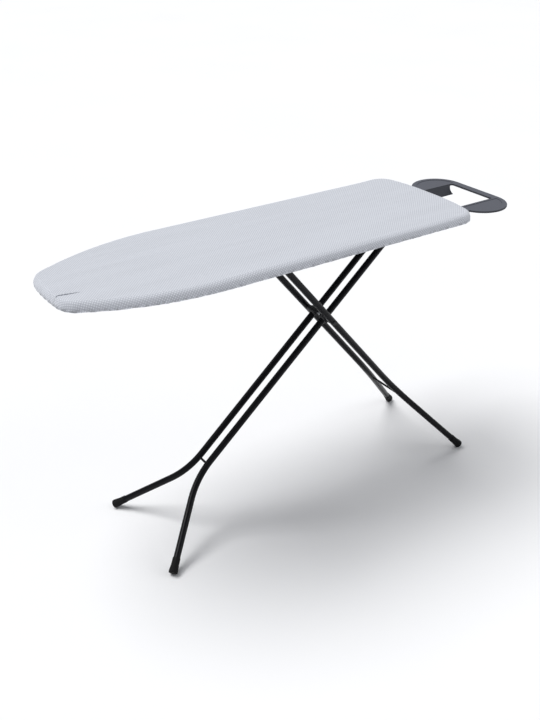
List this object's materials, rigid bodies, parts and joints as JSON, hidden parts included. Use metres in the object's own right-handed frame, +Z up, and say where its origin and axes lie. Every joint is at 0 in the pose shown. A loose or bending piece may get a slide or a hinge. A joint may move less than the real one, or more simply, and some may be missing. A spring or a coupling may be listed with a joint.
{
  "type": "folding ironing board",
  "caption": "Padded, cloth-covered tapering ironing top on crossed folding tube legs, with a side height lever and a fixed iron rest behind the heel.",
  "frame": {"origin": "on the floor under the middle of the whole object's length and width", "axes": "+X from the nose to the heel and iron rest, +Y to the side with the height lever, +Z up"},
  "size_m": [1.248, 0.356, 0.74],
  "materials": {
    "cover_cotton": "woven cotton, pale grey with a fine white twill pattern",
    "pad_foam": "felted foam",
    "hem_elastic": "braided elastic",
    "tube_powder_coat": "satin black powder coat",
    "frame_paint": "satin dark powder coat",
    "rest_powder_coat": "fine textured dark grey powder coat",
    "foot_rubber": "matt moulded rubber",
    "black_nylon": "moulded nylon",
    "zinc_steel": "zinc plated",
    "lever_paint": "satin black powder coat",
    "grip_vinyl": "dipped soft vinyl"
  },
  "bodies": {
    "board": {"cover": "cover_cotton", "pad": "pad_foam", "hem_elastic": "hem_elastic", "top_sheet": "frame_paint", "rim_channel": "frame_paint", "rib_nose": "frame_paint", "rib_mid": "frame_paint", "rib_heel": "frame_paint", "hinge_bracket": "frame_paint", "hinge_pin": "zinc_steel", "hinge_washers": "black_nylon", "rail_right": "frame_paint", "rail_left": "frame_paint", "rest_plate": "rest_powder_coat", "rest_arm_right": "rest_powder_coat", "rest_arm_left": "rest_powder_coat", "rest_screws": "zinc_steel", "rest_spacers": "black_nylon"},
    "inner_legs": {"inner_sleeve": "tube_powder_coat", "inner_leg_right": "tube_powder_coat", "inner_leg_left": "tube_powder_coat", "inner_foot_right": "foot_rubber", "inner_foot_left": "foot_rubber", "inner_brace": "tube_powder_coat", "pivot_boss_right": "black_nylon", "pivot_boss_left": "black_nylon", "pivot_collars": "black_nylon", "pivot_axle": "zinc_steel", "pivot_nuts": "black_nylon"},
    "outer_legs": {"outer_leg_right": "tube_powder_coat", "outer_leg_left": "tube_powder_coat", "outer_foot_right": "foot_rubber", "outer_foot_left": "foot_rubber", "outer_brace": "tube_powder_coat", "outer_leg_plugs": "black_nylon", "slide_rod": "zinc_steel", "slide_washers": "black_nylon", "rod_clip": "zinc_steel"},
    "latch_carriage": {"latch_housing": "black_nylon", "lever_pin": "zinc_steel", "lever_spring": "zinc_steel"},
    "lever": {"height_lever": "lever_paint", "lever_grip": "grip_vinyl"}
  },
  "joints": [
    {"name": "leg_fold", "type": "hinge", "parent": "board", "child": "inner_legs", "pos_m": [0.33746, 0, 0.7], "axis": [0, 1, 0], "range_deg": [-5.9, 39.1]},
    {"name": "leg_cross", "type": "hinge", "parent": "inner_legs", "child": "outer_legs", "pos_m": [0.091, 0, 0.485], "axis": [0, 1, 0], "range_deg": [-87.26, 13.34]},
    {"name": "latch_slide_turn", "type": "hinge", "parent": "outer_legs", "child": "latch_carriage", "pos_m": [-0.0875, 0, 0.7], "axis": [0, 1, 0], "range_deg": [-7.44, 48.16]},
    {"name": "lever_squeeze", "type": "hinge", "parent": "latch_carriage", "child": "lever", "pos_m": [-0.0995, 0.0878, 0.7], "axis": [0, 1, 0], "range_deg": [0, 6], "stiffness_Nm_per_rad": 1, "springref_deg": -11.46}
  ],
  "couplings": [
    {"joint": "leg_cross", "follows": "leg_fold", "ratio": -2.2266},
    {"joint": "latch_slide_turn", "follows": "leg_fold", "ratio": 1.2266}
  ]
}
